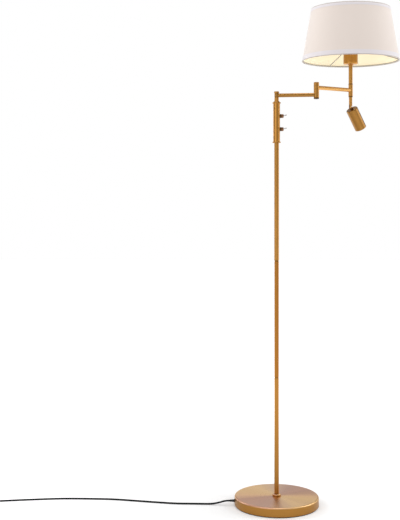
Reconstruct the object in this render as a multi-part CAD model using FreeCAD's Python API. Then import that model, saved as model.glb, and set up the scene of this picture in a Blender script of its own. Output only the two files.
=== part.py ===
"""A satin-brass floor lamp: a weighted round base, a pole in three screwed sections, a housing with
two toggle switches, a two-part swing arm, a fabric shade on its lampholder, and a small reading head.

Millimetres. The origin is the middle of the base on the floor, +Z is up and +X runs from the pole
towards the switch levers. Every piece is its own solid and is written to its own STEP file.
"""

import FreeCAD, Part
import math
import os

Vector = FreeCAD.Vector
UP = Vector(0, 0, 1)
ORIGIN = Vector(0, 0, 0)

# ---------------------------------------------------------------- fits
fixed_fit = 0.05        # radial clearance of a tube, stud or insert that is fastened
running_fit = 0.05      # radial clearance of a journal or pin that turns
turn_gap = 0.15         # axial clearance beside a piece that turns
least_rounding = 1.0    # an edge broken by less than this is a plain bevel

# ---------------------------------------------------------------- base
base_diameter = 252.0
base_height = 29.0
cover_wall = 1.2
cover_lift = 2.4        # the cover's lower edge above the floor
cover_edge_radius = 4.5
pad_thickness = 2.0
pad_diameter = 247.0
weight_clearance = 0.6
weight_web = 13.0       # iron between the boss and the rim
weight_land = 12.0      # width of the flat rim that carries the cover
weight_boss_diameter = 56.0
weight_recess_diameter = 64.0
weight_recess_height = 14.0
channel_width = 12.0
channel_height = 18.0
collar_diameter = 25.3
collar_height = 5.5

# ---------------------------------------------------------------- threaded tubes and nuts
thread_diameter = 10.0
lead_clearance = 1.15           # round the lead in the threaded tubes
nut_across_flats = 14.0
nut_height = 4.5
washer_diameter = 30.0
washer_thickness = 2.0
thread_engagement = 20.0

# ---------------------------------------------------------------- pole
pole_diameter = 14.0
pole_wall = 1.0
lower_length = 348.0
middle_length = 350.0
upper_length = 354.0
seam_chamfer = 0.6
seam_collar_height = 1.4        # the coupler's collar between two tubes
seam_collar_inset = 0.6
coupler_length = 40.0
coupler_bore = 8.0

# ---------------------------------------------------------------- switch housing
housing_diameter = 20.2
housing_wall = 1.0
housing_length = 114.5
flange_diameter = 25.0
flange_height = 3.5
cap_spigot = 6.0
shoulder_height = 3.4
shoulder_top_diameter = 15.0
lower_switch_height = 37.7      # above the sleeve's lower end
upper_switch_height = 77.0
switch_body_width = 8.0
switch_body_height = 13.0
switch_body_depth = 10.0
switch_lug_length = 3.5
bush_diameter = 6.0
bush_length = 11.4              # from the sleeve's wall outwards
bush_bore = 3.2
bush_mouth = 5.2
saddle_diameter = 12.0
saddle_height = 4.0
dress_nut_diameter = 11.6
dress_nut_height = 7.0
lever_pivot_reach = 5.4         # from the sleeve's wall outwards
lever_length = 15.8
lever_root_diameter = 1.9
lever_tip_diameter = 3.2
lever_barrel_diameter = 2.3     # the lever's round pivot inside the bush
lever_barrel_length = 2.1
lever_angle = 12.0

# ---------------------------------------------------------------- post and inner arm
post_diameter = 13.0
post_height = 11.5
post_bore = 4.4
journal_diameter = 8.0
post_stud_diameter = 6.0
post_stud_length = 4.5
pivot_cap_diameter = 15.0
pivot_cap_height = 5.9
hub_diameter = 13.0
hub_margin = 0.1                # the hub's height over the arm tube's diameter
inner_azimuth = -7.8
inner_length = 118.6
inner_tube_diameter = 11.7
arm_wall = 0.9
arm_spigot = 12.0

# ---------------------------------------------------------------- elbow and outer arm
elbow_diameter = 15.7
elbow_nut_height = 4.0
lower_barrel_height = 23.6
lower_barrel_drop = 8.3         # the lower barrel's foot below the inner tube's axis
upper_barrel_height = 16.0
elbow_cap_height = 6.2
elbow_cap_cover = 2.6           # metal over the pin's end
outer_azimuth = 32.7
outer_length = 134.3
outer_tube_diameter = 12.0
outer_tube_rise = 6.35          # the outer tube's axis above the upper barrel's foot

# ---------------------------------------------------------------- stem and lampholder
tee_diameter = 13.0
tee_above = 17.5                # the tee above and below the outer tube's axis
tee_below = 19.35
tee_spigot = 12.0
stem_ring_diameter = 13.4
stem_ring_height = 2.0
upper_stem_diameter = 12.0
upper_stem_wall = 1.0
upper_stem_length = 56.9
cup_collar_diameter = 17.0
cup_collar_height = 1.8
cup_diameter = 43.5
cup_wall = 0.8
cup_height = 46.0
cup_edge_radius = 4.0
cup_nipple_bore = 6.0
cup_nipple_above = 7.2          # above the cup's floor
holder_diameter = 39.5
holder_flange_diameter = 46.0
holder_flange_height = 2.0
holder_skirt = 17.0             # skirt above the flange
holder_bore = 26.8
contact_gap = 0.3               # the bulb's contact above the holder's closed end
ring_nut_diameter = 54.0
ring_nut_height = 7.4
ring_nut_ribs = 18

# ---------------------------------------------------------------- shade
shade_bottom_diameter = 296.0
shade_top_diameter = 240.0
shade_height = 160.0
shade_drop = 37.0               # the lower rim below the fitter's ring
lining_thickness = 0.8
fabric_thickness = 0.6
hem_thickness = 0.4
layer_gap = 0.1
bottom_hem = 15.0
top_hem = 10.0
wire_diameter = 3.0
wire_inset = 2.6                # the wire rings' middle from the rims
fitter_ring_diameter = 52.0
fitter_ring_thickness = 1.6
spoke_count = 3
spoke_azimuth = 109.0

# ---------------------------------------------------------------- bulb
bulb_cap_diameter = 26.2
bulb_cap_length = 27.0
bulb_neck_diameter = 29.0
bulb_diameter = 60.0
bulb_length = 108.0
globe_wall = 1.2
globe_cut = 13.0                # where the globe starts below its middle

# ---------------------------------------------------------------- reading head
swivel_washer_height = 1.8
swivel_journal_length = 17.0
swivel_stud_diameter = 6.6
swivel_stud_bore = 4.4
swivel_nut_diameter = 9.6
swivel_nut_height = 4.0
reading_stem_diameter = 10.0
reading_stem_drop = 29.6        # from the washer to the tilt pivot
clevis_end = 5.5                # stem below the pivot
clevis_slot = 4.0
clevis_side_gap = 0.1           # beside the eye, on either side
clevis_slot_above = 4.8
clevis_edge_radius = 2.5
pivot_screw_diameter = 3.0
eye_width = 8.4
eye_base_diameter = 12.0
eye_base_height = 1.8
eye_stud_diameter = 6.0
eye_stud_length = 8.0
head_azimuth = 37.6
head_tilt = 34.9
head_offset = 7.6              # from the pivot to the head's rear face
head_diameter = 36.0
head_wall = 1.2
head_cap_height = 8.0
head_cap_radius = 3.0
head_cap_spigot = 4.0
head_recess_diameter = 14.0
head_recess_depth = 2.5
head_tube_length = 62.2
heat_sink_height = 18.0
heat_sink_fins = 5
fin_groove = 1.6
fin_groove_depth = 3.0
led_diameter = 16.0
led_thickness = 1.5
reflector_wall = 0.8
reflector_throat = 18.0
lens_thickness = 2.0
lens_recess = 3.5

# ---------------------------------------------------------------- cord and plug
cord_diameter = 5.2
exit_height = 13.4
bush_flange_wall = 2.4
bush_neck_wall = 1.7
bush_inside = 7.0
bush_outside = 14.0
bush_nose_wall = 0.6
bush_root_wall = 1.2
lead_bend_radius = 8.1
lead_floor_gap = 0.3            # under the lead where it crosses the pad
lead_top_margin = 8.0
coil_outer_radius = 39.5
coil_gap = 0.55                 # between neighbouring turns
coil_turns_in = 3.0
coil_turns_out = 1.7778
coil_lead_out = 27.0
coil_drop_length = 30.0
plug_width = 35.3
plug_thickness = 13.7
plug_length = 36.0
plug_relief_length = 18.0
plug_relief_diameter = 9.0
pin_diameter = 4.0
pin_length = 19.0
pin_spacing = 18.6
pin_seat = 6.0
pin_seat_diameter = 3.2

# The lead's route over the floor to the coil, chosen by hand: how far each point lies beyond the
# bush's nose, and its place along +Y.
base_radius = base_diameter / 2
floor_height = cord_diameter / 2
nose = Vector(-base_radius - bush_outside, 0, exit_height)
floor_route = [
    (86, 5.0), (122, 6.4), (160, 7.2), (205, 16.4), (255, 27.4), (310, 41.0), (360, 51.2), (412, 54.4),
    (460, 56.6), (508, 57.2), (557, 52.6), (606, 46.2), (657, 38.8), (702, 31.4), (742, 24.4),
]
cord_route = [
    nose, nose + Vector(-14, 0, 0), nose + Vector(-32, 1.2, -6.2), nose + Vector(-56, 2.8, -10.7),
] + [Vector(nose.x - beyond, side, floor_height) for beyond, side in floor_route]

# ---------------------------------------------------------------- sizes worked out from the above
thread_bore = cord_diameter + 2 * lead_clearance
eye_thickness = clevis_slot - 2 * clevis_side_gap
bush_nose_diameter = cord_diameter + 2 * bush_nose_wall
bush_root_diameter = cord_diameter + 2 * bush_root_wall
bush_neck_diameter = cord_diameter + 2 * bush_neck_wall
bush_flange_diameter = cord_diameter + 2 * bush_flange_wall
lead_low_height = pad_thickness + cord_diameter / 2 + lead_floor_gap
coil_pitch = cord_diameter + coil_gap
cover_underside = base_height - cover_wall
pole_foot = base_height + collar_height
lower_seam = pole_foot + lower_length
upper_seam = lower_seam + middle_length
pole_top = upper_seam + upper_length
sleeve_foot = pole_top + flange_height
sleeve_top = sleeve_foot + housing_length
housing_top = sleeve_top + flange_height + shoulder_height
post_top = housing_top + post_height
hub_foot = post_top + turn_gap
hub_top = hub_foot + inner_tube_diameter + hub_margin
pivot_cap_foot = hub_top + turn_gap
inner_axis = (hub_foot + hub_top) / 2
lower_barrel_foot = inner_axis - lower_barrel_drop
lower_barrel_top = lower_barrel_foot + lower_barrel_height
upper_barrel_foot = lower_barrel_top + turn_gap
upper_barrel_top = upper_barrel_foot + upper_barrel_height
elbow_cap_foot = upper_barrel_top + turn_gap
outer_axis = upper_barrel_foot + outer_tube_rise
tee_foot = outer_axis - tee_below
tee_top = outer_axis + tee_above
upper_stem_foot = tee_top + stem_ring_height
spigot_top = upper_stem_foot + tee_spigot
upper_stem_top = upper_stem_foot + upper_stem_length
cup_foot = upper_stem_top + cup_collar_height
cup_floor = cup_foot + cup_wall
cup_rim = cup_foot + cup_height
fitter_foot = cup_rim + holder_flange_height
shade_foot = fitter_foot - shade_drop
bulb_foot = fitter_foot + holder_skirt - bulb_cap_length
swivel_top = tee_foot - turn_gap
reading_stem_top = swivel_top - swivel_washer_height
tilt_height = reading_stem_top - reading_stem_drop
lens_front = head_offset + head_cap_height + head_tube_length - lens_recess


def polar(length, azimuth):
    """A horizontal step of that length, in the direction azimuth degrees from +X towards +Y."""
    angle = math.radians(azimuth)
    return Vector(length * math.cos(angle), length * math.sin(angle), 0)


elbow_place = polar(inner_length, inner_azimuth)
stem_place = elbow_place + polar(outer_length, outer_azimuth)


# ---------------------------------------------------------------- helpers
def emit(name, *solids):
    """Writes one node: a single solid, or a group of separate ones."""
    shape = solids[0] if len(solids) == 1 else Part.makeCompound(list(solids))
    shape.exportStep(f"parts/{name}.step")
    print(f"{name}: {len(shape.Solids)} solid, {shape.Volume / 1000:.2f} cm3, valid {shape.isValid()}")


def outward(solid):
    """The same solid with its faces pointing out."""
    if solid.Volume < 0:
        solid.reverse()
    return solid


def rounded_edges(points, radii):
    """Lines through a closed ring of points, each corner sharp, broken by a small bevel, or rounded."""
    count = len(points)
    entries, exits, middles = [], [], []
    for index, corner in enumerate(points):
        radius = radii[index]
        if radius == 0:
            entries.append(corner)
            exits.append(corner)
            middles.append(None)
            continue
        back = (points[index - 1] - corner).normalize()
        ahead = (points[(index + 1) % count] - corner).normalize()
        half = back.getAngle(ahead) / 2
        reach = radius / math.tan(half)
        entries.append(corner + back * reach)
        exits.append(corner + ahead * reach)
        towards = (back + ahead).normalize()
        bevelled = radius < least_rounding
        middles.append(None if bevelled else corner + towards * (radius / math.sin(half) - radius))
    edges = []
    for index in range(count):
        if middles[index] is None and entries[index].distanceToPoint(exits[index]) > 1e-6:
            edges.append(Part.LineSegment(entries[index], exits[index]).toShape())
        if middles[index] is not None:
            edges.append(Part.Arc(entries[index], middles[index], exits[index]).toShape())
        start, end = exits[index], entries[(index + 1) % count]
        if start.distanceToPoint(end) > 1e-6:
            edges.append(Part.LineSegment(start, end).toShape())
    return edges


def turned(corners, place=ORIGIN):
    """A turned solid from corners (radius, height) or (radius, height, rounding)."""
    points = [Vector(corner[0], 0, corner[1]) for corner in corners]
    radii = [corner[2] if len(corner) > 2 else 0 for corner in corners]
    face = Part.Face(Part.Wire(rounded_edges(points, radii)))
    solid = outward(face.revolve(ORIGIN, UP, 360))
    solid.translate(place)
    return solid


def rod(diameter, low, high, place=ORIGIN):
    return Part.makeCylinder(diameter / 2, high - low, place + Vector(0, 0, low))


def pipe(outer, inner, low, high, place=ORIGIN):
    return rod(outer, low, high, place).cut(rod(inner, low - 1, high + 1, place))


def chamfered_pipe(outer, inner, low, high, chamfer):
    """A tube with a small outside chamfer at both ends."""
    r, bore = outer / 2, inner / 2
    return turned([
        (bore, low), (r - chamfer, low), (r, low + chamfer),
        (r, high - chamfer), (r - chamfer, high), (bore, high),
    ])


def nut(low, height, bore, flats=nut_across_flats, place=ORIGIN):
    """A hexagon nut with its lower face at that height."""
    corner = flats / 2 / math.cos(math.radians(30))
    ring = [polar(corner, 60 * step) + place + Vector(0, 0, low) for step in range(7)]
    body = Part.Face(Part.makePolygon(ring)).extrude(UP * height)
    return body.cut(rod(bore, low - 1, low + height + 1, place))


def lying_rod(diameter, start, length, azimuth, height, bore=0):
    """A rod or tube along the direction azimuth, from start at that height."""
    foot = start + Vector(0, 0, height)
    way = polar(1, azimuth)
    solid = Part.makeCylinder(diameter / 2, length, foot, way)
    if bore:
        solid = solid.cut(Part.makeCylinder(bore / 2, length + 2, foot - way, way))
    return solid


def sweep(edges, diameter):
    """A round tube along edges that join smoothly."""
    path = Part.Wire(edges)
    first = edges[0]
    start = first.valueAt(first.FirstParameter)
    way = first.tangentAt(first.FirstParameter)
    ring = Part.Wire(Part.makeCircle(diameter / 2, start, way))
    return outward(path.makePipeShell([ring], True, False))


def path_edges(points, radii):
    """Straight runs joined by tangent arcs of those radii, one for each inner point."""
    edges, start = [], points[0]
    for index, radius in enumerate(radii):
        corner = points[index + 1]
        back = (points[index] - corner).normalize()
        ahead = (points[index + 2] - corner).normalize()
        half = back.getAngle(ahead) / 2
        reach = radius / math.tan(half)
        towards = (back + ahead).normalize()
        entry, leave = corner + back * reach, corner + ahead * reach
        middle = corner + towards * (radius / math.sin(half) - radius)
        edges.append(Part.LineSegment(start, entry).toShape())
        edges.append(Part.Arc(entry, middle, leave).toShape())
        start = leave
    edges.append(Part.LineSegment(start, points[-1]).toShape())
    return edges


def widest_radii(points):
    """Each inner point's arc: 0.45 of the shorter run, over the tangent of half the turn."""
    radii = []
    for before, corner, after in zip(points, points[1:], points[2:]):
        first, second = corner - before, after - corner
        half_turn = first.getAngle(second) / 2
        radii.append(0.45 * min(first.Length, second.Length) / math.tan(half_turn))
    return radii


def report_tube(name, solid, edges, diameter):
    """Prints a tube's length, and its volume beside its section times its length."""
    length = sum(edge.Length for edge in edges)
    section = math.pi * diameter**2 / 4
    print(f"{name}: length {length:.1f} mm, volume {solid.Volume:.0f}, section x length {section * length:.0f}")


# ---------------------------------------------------------------- base
def make_base():
    emit("base_pad", rod(pad_diameter, 0, pad_thickness))

    rim = base_radius - cover_wall - weight_clearance
    bevel = cover_edge_radius
    hole = thread_diameter / 2 + fixed_fit
    recess = weight_recess_diameter / 2
    recess_top = pad_thickness + weight_recess_height
    web_top = pad_thickness + weight_web
    boss = weight_boss_diameter / 2
    land = rim - bevel - weight_land
    weight = turned([
        (hole, recess_top), (recess, recess_top), (recess, pad_thickness), (rim, pad_thickness),
        (rim, cover_underside - bevel), (rim - bevel, cover_underside), (land, cover_underside, 2),
        (land - 4, web_top, 4), (boss + 6, web_top, 4), (boss, cover_underside, 2), (hole, cover_underside),
    ])
    channel = Part.makeBox(
        base_diameter, channel_width, channel_height,
        Vector(-base_diameter - recess + 2, -channel_width / 2, pad_thickness),
    )
    emit("base_weight", weight.cut(channel))

    r, inner = base_radius, base_radius - cover_wall
    cover = turned([
        (hole, base_height), (r, base_height, cover_edge_radius), (r, cover_lift, 0.5), (inner, cover_lift),
        (inner, cover_underside, cover_edge_radius - cover_wall), (hole, cover_underside),
    ])
    cord_hole = Part.makeCylinder(
        bush_neck_diameter / 2 + fixed_fit, base_radius, Vector(-base_diameter, 0, exit_height), Vector(1, 0, 0)
    )
    cord_hole.translate(Vector(base_radius / 2, 0, 0))
    emit("base_cover", cover.cut(cord_hole))

    edge = collar_height * 0.42
    emit("base_collar", turned([
        (hole, base_height), (collar_diameter / 2, base_height, 0.6),
        (collar_diameter / 2, pole_foot, edge), (hole, pole_foot),
    ]))


# ---------------------------------------------------------------- threaded tubes, nuts and inserts
def seam_coupler(spigot, seam):
    """The insert that joins two pole tubes, with the narrow collar that shows between their ends."""
    bore, collar = coupler_bore / 2, pole_diameter / 2 - seam_collar_inset
    low, high = seam - seam_collar_height / 2, seam + seam_collar_height / 2
    return turned([
        (bore, seam - coupler_length / 2), (spigot, seam - coupler_length / 2), (spigot, low), (collar, low),
        (collar, high), (spigot, high), (spigot, seam + coupler_length / 2), (bore, seam + coupler_length / 2),
    ])


def make_fastenings():
    recess_top = pad_thickness + weight_recess_height
    base_nut_foot = recess_top - washer_thickness - nut_height
    base_nipple = pipe(thread_diameter, thread_bore, base_nut_foot, pole_foot + thread_engagement)
    nut_bore = thread_diameter + 2 * fixed_fit
    housing_nut_foot = sleeve_foot + cap_spigot
    housing_nipple = pipe(
        thread_diameter, thread_bore, pole_top - thread_engagement, housing_nut_foot + nut_height + 2
    )
    emit("stand_nipples", base_nipple, housing_nipple)

    post_nut_foot = sleeve_top - cap_spigot - nut_height
    washer = pipe(washer_diameter, nut_bore, recess_top - washer_thickness, recess_top)
    emit(
        "stand_nuts",
        nut(base_nut_foot, nut_height, nut_bore),
        washer,
        nut(housing_nut_foot, nut_height, nut_bore),
        nut(post_nut_foot, nut_height, nut_bore),
    )

    inside = pole_diameter - 2 * pole_wall - 2 * fixed_fit
    emit(
        "pole_couplers",
        pipe(inside, nut_bore, pole_foot, pole_foot + thread_engagement),
        seam_coupler(inside / 2, lower_seam),
        seam_coupler(inside / 2, upper_seam),
        pipe(inside, nut_bore, pole_top - thread_engagement, pole_top),
    )


def make_pole():
    bore = pole_diameter - 2 * pole_wall
    half = seam_collar_height / 2
    sections = [("lower_pole", pole_foot, lower_seam - half), ("middle_pole", lower_seam + half, upper_seam - half),
                ("upper_pole", upper_seam + half, pole_top)]
    for name, low, high in sections:
        emit(name, chamfered_pipe(pole_diameter, bore, low, high, seam_chamfer))


# ---------------------------------------------------------------- switch housing
switch_heights = {"lower": sleeve_foot + lower_switch_height, "upper": sleeve_foot + upper_switch_height}
housing_radius = housing_diameter / 2
bush_hole = bush_diameter + 2 * fixed_fit


def along_x(diameter, start, end, height, end_diameter=None):
    """A rod or cone from x = start to x = end at that height."""
    foot, way = Vector(start, 0, height), Vector(1, 0, 0)
    if end_diameter is None:
        return Part.makeCylinder(diameter / 2, end - start, foot, way)
    return Part.makeCone(diameter / 2, end_diameter / 2, end - start, foot, way)


def make_housing():
    inside = housing_diameter - 2 * housing_wall
    spigot = inside / 2 - fixed_fit
    hole = thread_diameter / 2 + fixed_fit
    flange = flange_diameter / 2
    sleeve = pipe(housing_diameter, inside, sleeve_foot, sleeve_top)
    for height in switch_heights.values():
        sleeve = sleeve.cut(along_x(bush_hole, 0, housing_radius + 1, height))
    emit("switch_housing", sleeve)

    emit("housing_bottom_cap", turned([
        (hole, pole_top), (flange, pole_top, 0.8), (flange, sleeve_foot, 0.8), (spigot, sleeve_foot),
        (spigot, sleeve_foot + cap_spigot), (hole, sleeve_foot + cap_spigot),
    ]))
    flange_top = sleeve_top + flange_height
    emit("housing_top_cap", turned([
        (hole, sleeve_top - cap_spigot), (spigot, sleeve_top - cap_spigot), (spigot, sleeve_top),
        (flange, sleeve_top, 0.8), (flange, flange_top, 0.8), (housing_radius, flange_top),
        (housing_radius - 0.4, flange_top + shoulder_height * 0.35, 1),
        (shoulder_top_diameter / 2, housing_top, 0.8), (hole, housing_top),
    ]))


def switch_body(height):
    """A miniature toggle switch: its case, three solder lugs and the threaded bush."""
    inside = housing_radius - housing_wall
    front = math.sqrt(inside**2 - (switch_body_width / 2)**2) - 0.2
    case = Part.makeBox(
        switch_body_depth, switch_body_width, switch_body_height,
        Vector(front - switch_body_depth, -switch_body_width / 2, height - switch_body_height / 2),
    )
    for step in (-1, 0, 1):
        lug = Part.makeBox(
            switch_lug_length, 2, 0.8, Vector(front - switch_body_depth - switch_lug_length, -1, height + 4.5 * step - 0.4)
        )
        case = case.fuse(lug)
    bush = along_x(bush_diameter, front, housing_radius + bush_length, height)
    pivot = housing_radius + lever_pivot_reach
    bore = along_x(bush_bore, pivot - bush_bore, pivot, height)
    mouth = along_x(bush_bore, pivot, housing_radius + bush_length, height, bush_mouth)
    return case.fuse(bush).cut(bore.fuse(mouth))


def make_switches():
    hole = bush_diameter + 2 * fixed_fit
    barrel = rod(housing_diameter + 2 * fixed_fit, sleeve_foot, sleeve_top)
    bodies, saddles, nuts = [], [], []
    seat = housing_radius + saddle_height
    for height in switch_heights.values():
        bodies.append(switch_body(height))
        saddle = along_x(saddle_diameter, housing_radius * 0.6, seat, height)
        saddles.append(saddle.cut(barrel).cut(along_x(hole, 0, seat + 1, height)))
        dress = turned([
            (hole / 2, 0), (dress_nut_diameter / 2, 0, 0.4),
            (dress_nut_diameter / 2, dress_nut_height, 2.4), (hole / 2, dress_nut_height),
        ])
        dress.rotate(ORIGIN, Vector(0, 1, 0), 90)
        dress.translate(Vector(seat, 0, height))
        nuts.append(dress)
    emit("switch_bodies", *bodies)
    emit("switch_saddles", *saddles)
    emit("switch_nuts", *nuts)

    for name, height in switch_heights.items():
        root, tip = lever_root_diameter / 2, lever_tip_diameter / 2
        lever = turned([(0, 0), (root, 0), (tip, lever_length - tip), (tip, lever_length, tip * 0.98), (0, lever_length)])
        lever = lever.fuse(Part.makeCylinder(
            lever_barrel_diameter / 2, lever_barrel_length, Vector(0, -lever_barrel_length / 2, 0), Vector(0, 1, 0)
        ))
        lever.rotate(ORIGIN, Vector(0, 1, 0), 90 - lever_angle)
        lever.translate(Vector(housing_radius + lever_pivot_reach, 0, height))
        emit(f"{name}_toggle", lever)


# ---------------------------------------------------------------- post and inner arm
def make_post():
    bore = post_bore / 2
    stud = thread_diameter / 2
    journal = journal_diameter / 2
    thread = post_stud_diameter / 2
    shoulder = post_diameter / 2
    stud_foot = sleeve_top - cap_spigot - nut_height - 1.5
    stud_top = pivot_cap_foot + post_stud_length
    emit("pivot_post", turned([
        (bore, stud_foot), (stud, stud_foot), (stud, housing_top), (shoulder, housing_top),
        (shoulder, post_top, 0.4), (journal, post_top), (journal, pivot_cap_foot), (thread, pivot_cap_foot),
        (thread, stud_top), (bore, stud_top),
    ]))
    cap = pivot_cap_diameter / 2
    cap_top = pivot_cap_foot + pivot_cap_height
    emit("pivot_cap", turned([
        (thread + fixed_fit, pivot_cap_foot), (cap - 0.8, pivot_cap_foot), (cap, pivot_cap_foot + 0.8),
        (cap, cap_top, 1.8), (0, cap_top), (0, stud_top + 0.2), (thread + fixed_fit, stud_top + 0.2),
    ]))


def arm_socket(place, azimuth, hub_size, height, tube_size):
    """The stub of a hub that an arm tube is pushed on."""
    reach = hub_size / 2 + arm_spigot
    stub = tube_size - 2 * arm_wall - 2 * fixed_fit
    return lying_rod(stub, place, reach, azimuth, height)


def arm_tube(start, length, azimuth, height, tube_size, first_hub, last_hub):
    """A tube between two hubs, its ends cut to fit round them."""
    tube = lying_rod(tube_size, start, length, azimuth, height, tube_size - 2 * arm_wall)
    far = start + polar(length, azimuth)
    low, high = height - tube_size, height + tube_size
    near_cut = rod(first_hub + 2 * fixed_fit, low, high, start)
    far_cut = rod(last_hub + 2 * fixed_fit, low, high, far)
    return tube.cut(near_cut).cut(far_cut)


def make_inner_arm():
    bore = journal_diameter + 2 * running_fit
    hub = turned([
        (0, hub_foot), (hub_diameter / 2, hub_foot, 0.4), (hub_diameter / 2, hub_top, 0.4), (0, hub_top),
    ])
    hub = hub.fuse(arm_socket(ORIGIN, inner_azimuth, hub_diameter, inner_axis, inner_tube_diameter))
    emit("inner_hub", hub.cut(rod(bore, hub_foot - 1, hub_top + 1)))
    emit("inner_arm_tube", arm_tube(
        ORIGIN, inner_length, inner_azimuth, inner_axis, inner_tube_diameter, hub_diameter, elbow_diameter
    ))

    barrel = rod(elbow_diameter, lower_barrel_foot, lower_barrel_top, elbow_place)
    back = inner_azimuth + 180
    barrel = barrel.fuse(arm_socket(elbow_place, back, elbow_diameter, inner_axis, inner_tube_diameter))
    pin_hole = journal_diameter + 2 * fixed_fit
    emit("elbow_lower_barrel", barrel.cut(rod(pin_hole, lower_barrel_foot - 1, lower_barrel_top + 1, elbow_place)))

    nut_foot = lower_barrel_foot - elbow_nut_height
    r = elbow_diameter / 2
    hole = pin_hole / 2
    emit("elbow_bottom_nut", turned([
        (hole, nut_foot), (r, nut_foot, 1.2), (r, lower_barrel_foot - 0.6), (r - 0.6, lower_barrel_foot),
        (hole, lower_barrel_foot),
    ], elbow_place))

    cap_top = elbow_cap_foot + elbow_cap_height
    pin_top = cap_top - elbow_cap_cover
    emit("elbow_pin", rod(journal_diameter, nut_foot + 1, pin_top, elbow_place))
    emit("elbow_top_cap", turned([
        (hole, elbow_cap_foot), (r, elbow_cap_foot, 0.3), (r, cap_top, 2), (0, cap_top),
        (0, pin_top + 0.2), (hole, pin_top + 0.2),
    ], elbow_place))


# ---------------------------------------------------------------- outer arm
def make_outer_arm():
    bore = journal_diameter + 2 * running_fit
    barrel = rod(elbow_diameter, upper_barrel_foot, upper_barrel_top, elbow_place)
    barrel = barrel.fuse(
        arm_socket(elbow_place, outer_azimuth, elbow_diameter, outer_axis, outer_tube_diameter)
    )
    emit("elbow_upper_barrel", barrel.cut(rod(bore, upper_barrel_foot - 1, upper_barrel_top + 1, elbow_place)))
    emit("outer_arm_tube", arm_tube(
        elbow_place, outer_length, outer_azimuth, outer_axis, outer_tube_diameter, elbow_diameter, tee_diameter
    ))

    tee = tee_diameter / 2
    spigot = upper_stem_diameter / 2 - upper_stem_wall - fixed_fit
    journal = journal_diameter / 2 + running_fit
    journal_top = swivel_top + swivel_journal_length + turn_gap
    stud = swivel_stud_diameter / 2 + running_fit
    hub = turned([
        (journal, tee_foot), (tee, tee_foot, 0.4), (tee, tee_top, 0.4), (spigot, tee_top),
        (spigot, spigot_top), (stud, spigot_top), (stud, journal_top), (journal, journal_top),
    ], stem_place)
    stub = arm_socket(stem_place, outer_azimuth + 180, tee_diameter, outer_axis, outer_tube_diameter)
    stub = stub.cut(rod(tee_diameter - 1, outer_axis - tee_diameter, outer_axis + tee_diameter, stem_place))
    emit("tee_hub", hub.fuse(stub))
    ring = stem_ring_diameter / 2
    emit("stem_ring", turned([
        (spigot + fixed_fit, tee_top), (ring, tee_top, 0.3), (ring, upper_stem_foot, 0.3),
        (spigot + fixed_fit, upper_stem_foot),
    ], stem_place))
    stem_bore = upper_stem_diameter - 2 * upper_stem_wall
    emit("upper_stem", pipe(upper_stem_diameter, stem_bore, upper_stem_foot, upper_stem_top, stem_place))


def make_lampholder():
    nipple = upper_stem_diameter - 2 * upper_stem_wall - 2 * fixed_fit
    hole = nipple / 2 + fixed_fit
    nipple_top = cup_floor + cup_nipple_above
    emit("cup_nipple", pipe(nipple, cup_nipple_bore, upper_stem_top - tee_spigot, nipple_top, stem_place))
    collar = cup_collar_diameter / 2
    emit("cup_collar", turned([
        (hole, upper_stem_top), (collar, upper_stem_top, 1), (collar, cup_foot), (hole, cup_foot),
    ], stem_place))

    r, inner = cup_diameter / 2, cup_diameter / 2 - cup_wall
    emit("lamp_cup", turned([
        (hole, cup_foot), (r, cup_foot, cup_edge_radius), (r, cup_rim), (inner, cup_rim),
        (inner, cup_floor, cup_edge_radius - cup_wall), (hole, cup_floor),
    ], stem_place))

    holder = holder_diameter / 2
    bore = holder_bore / 2
    base_floor = bulb_foot - contact_gap
    skirt_top = fitter_foot + holder_skirt
    emit("lampholder", turned([
        (hole, cup_floor), (hole + 4, cup_floor), (hole + 4, cup_floor + 5), (holder - 3, cup_floor + 9, 2),
        (holder, cup_floor + 14, 2), (holder, cup_rim), (holder_flange_diameter / 2, cup_rim, 0.4),
        (holder_flange_diameter / 2, fitter_foot, 0.4), (holder, fitter_foot), (holder, skirt_top, 1),
        (bore, skirt_top, 1.5), (bore, base_floor), (0, base_floor), (0, nipple_top + 0.4), (hole, nipple_top + 0.4),
    ], stem_place))

    nut_foot = fitter_foot + fitter_ring_thickness
    nut_top = nut_foot + ring_nut_height
    outer = ring_nut_diameter / 2
    ring_nut = turned([
        (holder + fixed_fit, nut_foot), (outer, nut_foot, 0.8), (outer, nut_foot + 2.4, 0.6), (outer - 4, nut_foot + 3.4, 1),
        (outer - 4.4, nut_top, 0.8), (holder + fixed_fit, nut_top),
    ], stem_place)
    for step in range(ring_nut_ribs):
        spot = stem_place + polar(outer, 360 * step / ring_nut_ribs)
        ring_nut = ring_nut.cut(rod(4, nut_foot - 1, nut_top + 1, spot))
    emit("shade_ring_nut", ring_nut)


# ---------------------------------------------------------------- shade
shade_slope = (shade_bottom_diameter - shade_top_diameter) / 2 / shade_height


def shade_radius(rise, inset):
    """The shade's radius at that rise over its lower rim, inset from its outside."""
    return shade_bottom_diameter / 2 - shade_slope * rise - inset


def cone_wall(low, high, outer_inset, thickness):
    """A conical wall between two rises over the lower rim."""
    inner_inset = outer_inset + thickness
    return turned([
        (shade_radius(low, inner_inset), shade_foot + low), (shade_radius(low, outer_inset), shade_foot + low),
        (shade_radius(high, outer_inset), shade_foot + high), (shade_radius(high, inner_inset), shade_foot + high),
    ], stem_place)


def wire_ring(rise, inset):
    """A round wire ring inside the lining."""
    radius = shade_radius(rise, inset)
    return Part.makeTorus(radius, wire_diameter / 2, stem_place + Vector(0, 0, shade_foot + rise)), radius


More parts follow.
